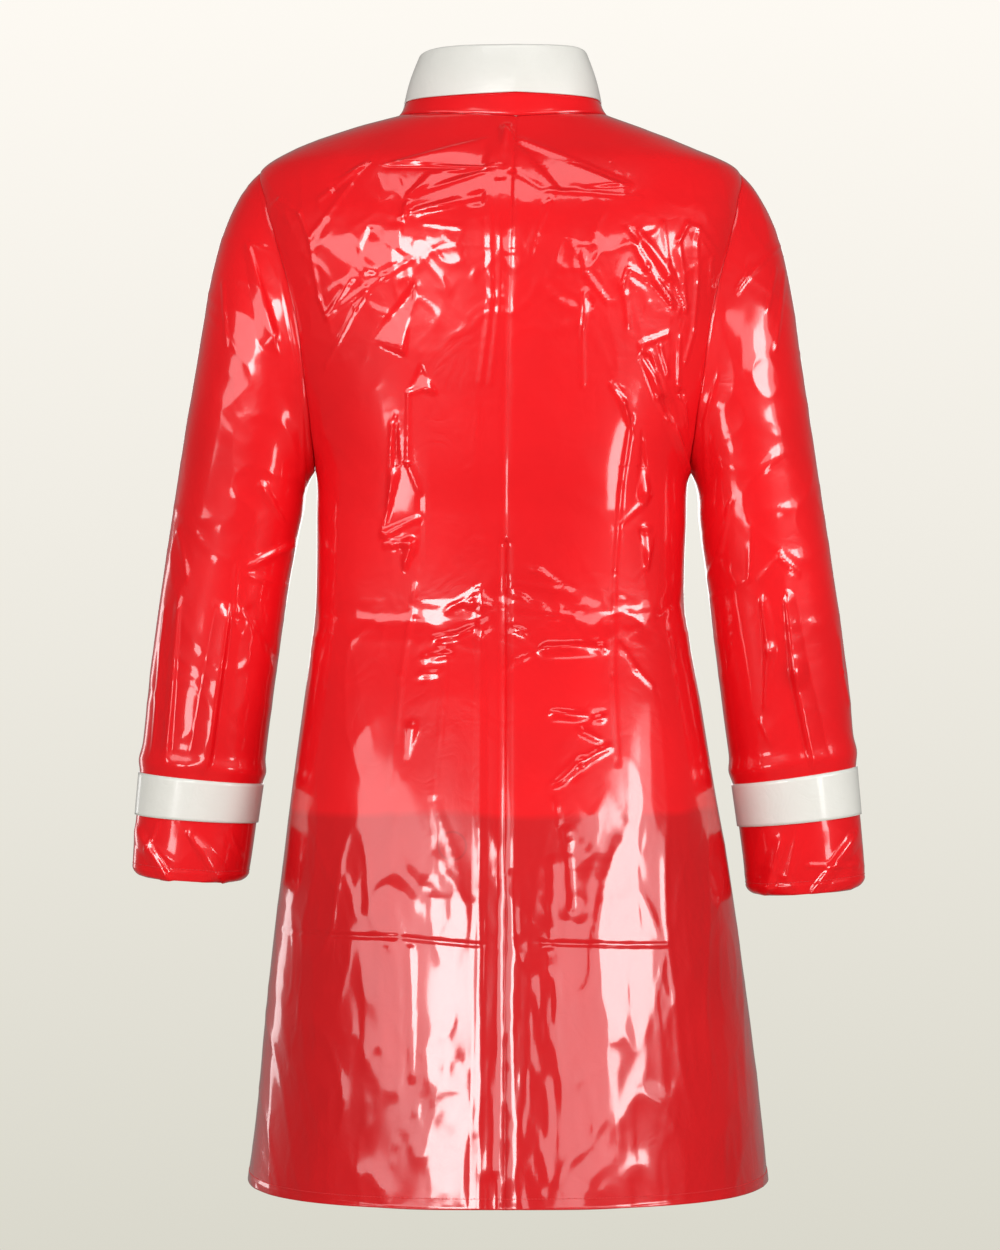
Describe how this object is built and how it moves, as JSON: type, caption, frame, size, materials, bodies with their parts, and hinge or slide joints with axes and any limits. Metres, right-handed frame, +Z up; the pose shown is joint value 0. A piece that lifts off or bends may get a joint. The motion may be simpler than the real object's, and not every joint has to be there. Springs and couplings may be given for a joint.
{
  "type": "knee-length raincoat",
  "caption": "Knee-length glossy red film raincoat, shown worn but empty, with a white collar, white sleeve bands, shaped waist, flared skirt and press-stud front.",
  "frame": {"origin": "midway between the two side neck points, at the height where the coat rests on the wearer's neck and shoulders", "axes": "+Z up, +Y towards the wearer's front, +X towards the wearer's right"},
  "size_m": [0.62, 0.3706, 0.9401],
  "materials": {
    "red_film": "very glossy, slightly translucent red film",
    "white_film": "glossy white film",
    "stud_plastic": "smooth red moulded plastic"
  },
  "bodies": {
    "root": {"back_left": "red_film", "back_right": "red_film", "front_left": "red_film", "front_right": "red_film", "sleeve_left": "red_film", "sleeve_right": "red_film", "collar_stand": "red_film", "collar_fall": "white_film", "sleeve_band_left": "white_film", "sleeve_band_right": "white_film", "press_stud_1": "stud_plastic", "press_stud_2": "stud_plastic", "press_stud_3": "stud_plastic", "press_stud_4": "stud_plastic", "press_stud_5": "stud_plastic"}
  },
  "joints": []
}
